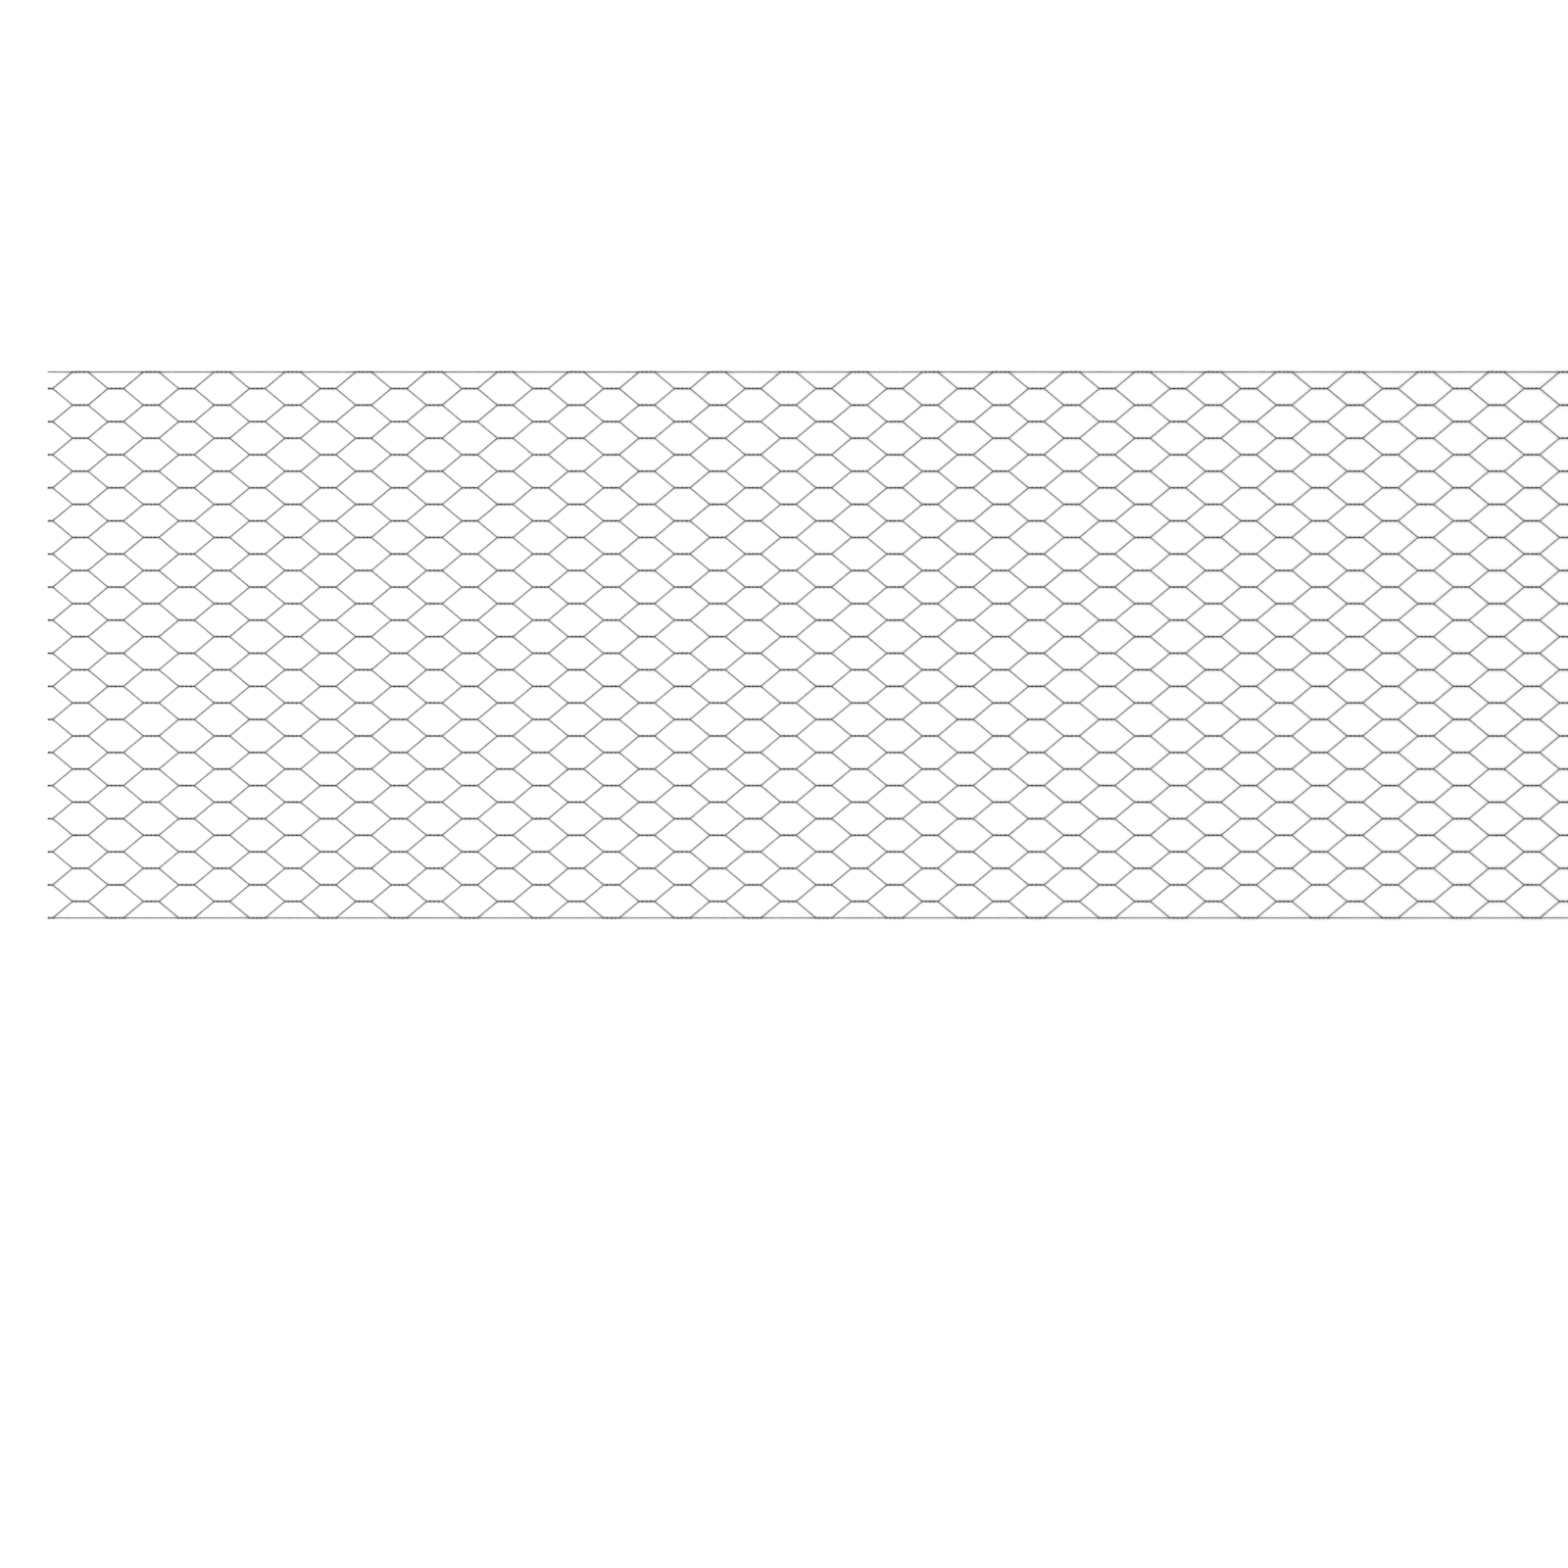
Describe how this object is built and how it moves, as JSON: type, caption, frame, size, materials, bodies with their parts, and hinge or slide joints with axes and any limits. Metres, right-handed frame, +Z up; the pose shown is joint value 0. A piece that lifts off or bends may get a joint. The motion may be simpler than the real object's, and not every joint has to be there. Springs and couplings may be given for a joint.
{
  "type": "chicken wire",
  "caption": "Flat length of hexagonal wire netting, zigzag mesh wires twisted together in rows, with a straight selvage wire along each long edge and cut wire stubs at both ends.",
  "frame": {"origin": "middle of the netting's length and width, on the level surface that it lies on", "axes": "+X along the netting's length, parallel to the twists and the selvage wires; +Y across its width, towards the upper selvage wire; +Z up, away from the surface"},
  "size_m": [2.01, 0.6, 0.002],
  "materials": {
    "galvanized_wire": "dull zinc coating, dark neutral grey"
  },
  "bodies": {
    "root": {"mesh_wire_01": "galvanized_wire", "mesh_wire_02": "galvanized_wire", "mesh_wire_03": "galvanized_wire", "mesh_wire_04": "galvanized_wire", "mesh_wire_05": "galvanized_wire", "mesh_wire_06": "galvanized_wire", "mesh_wire_07": "galvanized_wire", "mesh_wire_08": "galvanized_wire", "mesh_wire_09": "galvanized_wire", "mesh_wire_10": "galvanized_wire", "mesh_wire_11": "galvanized_wire", "mesh_wire_12": "galvanized_wire", "mesh_wire_13": "galvanized_wire", "mesh_wire_14": "galvanized_wire", "mesh_wire_15": "galvanized_wire", "mesh_wire_16": "galvanized_wire", "mesh_wire_17": "galvanized_wire", "mesh_wire_18": "galvanized_wire", "mesh_wire_19": "galvanized_wire", "mesh_wire_20": "galvanized_wire", "mesh_wire_21": "galvanized_wire", "mesh_wire_22": "galvanized_wire", "mesh_wire_23": "galvanized_wire", "mesh_wire_24": "galvanized_wire", "mesh_wire_25": "galvanized_wire", "mesh_wire_26": "galvanized_wire", "mesh_wire_27": "galvanized_wire", "mesh_wire_28": "galvanized_wire", "mesh_wire_29": "galvanized_wire", "mesh_wire_30": "galvanized_wire", "mesh_wire_31": "galvanized_wire", "mesh_wire_32": "galvanized_wire", "mesh_wire_33": "galvanized_wire", "selvage_wire_upper": "galvanized_wire", "selvage_wire_lower": "galvanized_wire"}
  },
  "joints": []
}
